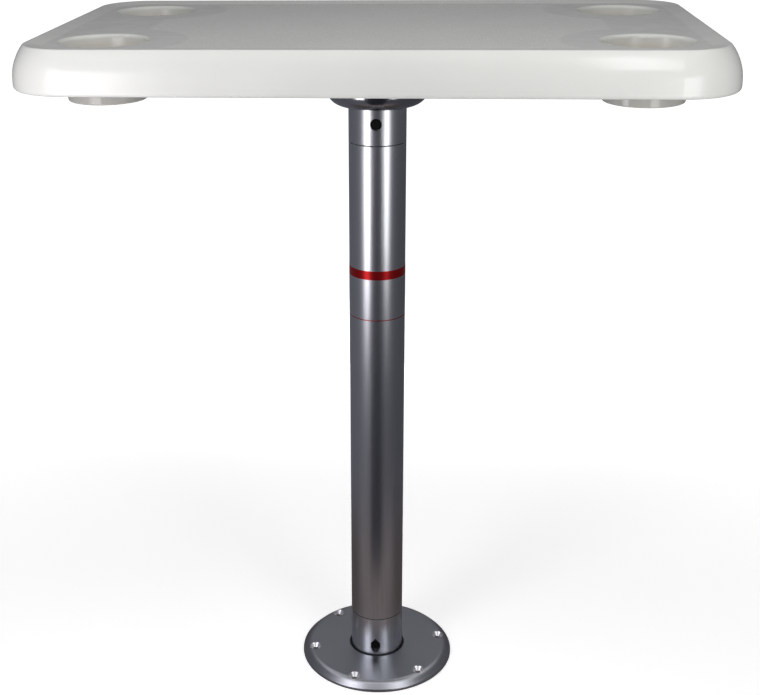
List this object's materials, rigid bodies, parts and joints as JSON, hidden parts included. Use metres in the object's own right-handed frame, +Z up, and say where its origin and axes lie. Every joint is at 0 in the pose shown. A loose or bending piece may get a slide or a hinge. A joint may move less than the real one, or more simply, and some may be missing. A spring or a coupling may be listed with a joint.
{
  "type": "single pole camper table",
  "caption": "Moulded table top with cup holders in its corners on a round quick-release pole that plugs into a screw-down floor plate.",
  "frame": {"origin": "middle of the floor plate's underside, on the pole's axis", "axes": "+Z up along the pole, +X along the top's long side, the release buttons face -Y"},
  "size_m": [0.662, 0.4, 0.7455],
  "materials": {
    "white_moulding": "gloss, off-white",
    "polished_aluminium": "polished",
    "satin_aluminium": "satin anodised",
    "plate_aluminium": "satin anodised",
    "black_plastic": "moulded, matte black",
    "black_button": "moulded, matte black",
    "zinc_steel": "zinc plated",
    "spring_steel": "drawn wire"
  },
  "bodies": {
    "frame": {"table_top": "white_moulding", "top_bracket": "polished_aluminium", "bracket_screws": "zinc_steel", "top_hub": "black_plastic", "upper_button_spring": "spring_steel", "pole": "satin_aluminium", "base_plate": "plate_aluminium", "base_hub": "black_plastic", "hub_screws": "zinc_steel", "lower_button_spring": "spring_steel"},
    "lower_button": {"lower_release_button": "black_button"},
    "upper_button": {"upper_release_button": "black_button"}
  },
  "joints": [
    {"name": "lower_button_press", "type": "slide", "parent": "frame", "child": "lower_button", "axis": [0, 1, 0], "range_m": [0, 0.0035], "stiffness_N_per_m": 1200, "springref_m": -0.005, "deforming": ["lower_button_spring"]},
    {"name": "upper_button_press", "type": "slide", "parent": "frame", "child": "upper_button", "axis": [0, 1, 0], "range_m": [0, 0.0035], "stiffness_N_per_m": 1200, "springref_m": -0.005, "deforming": ["upper_button_spring"]}
  ]
}
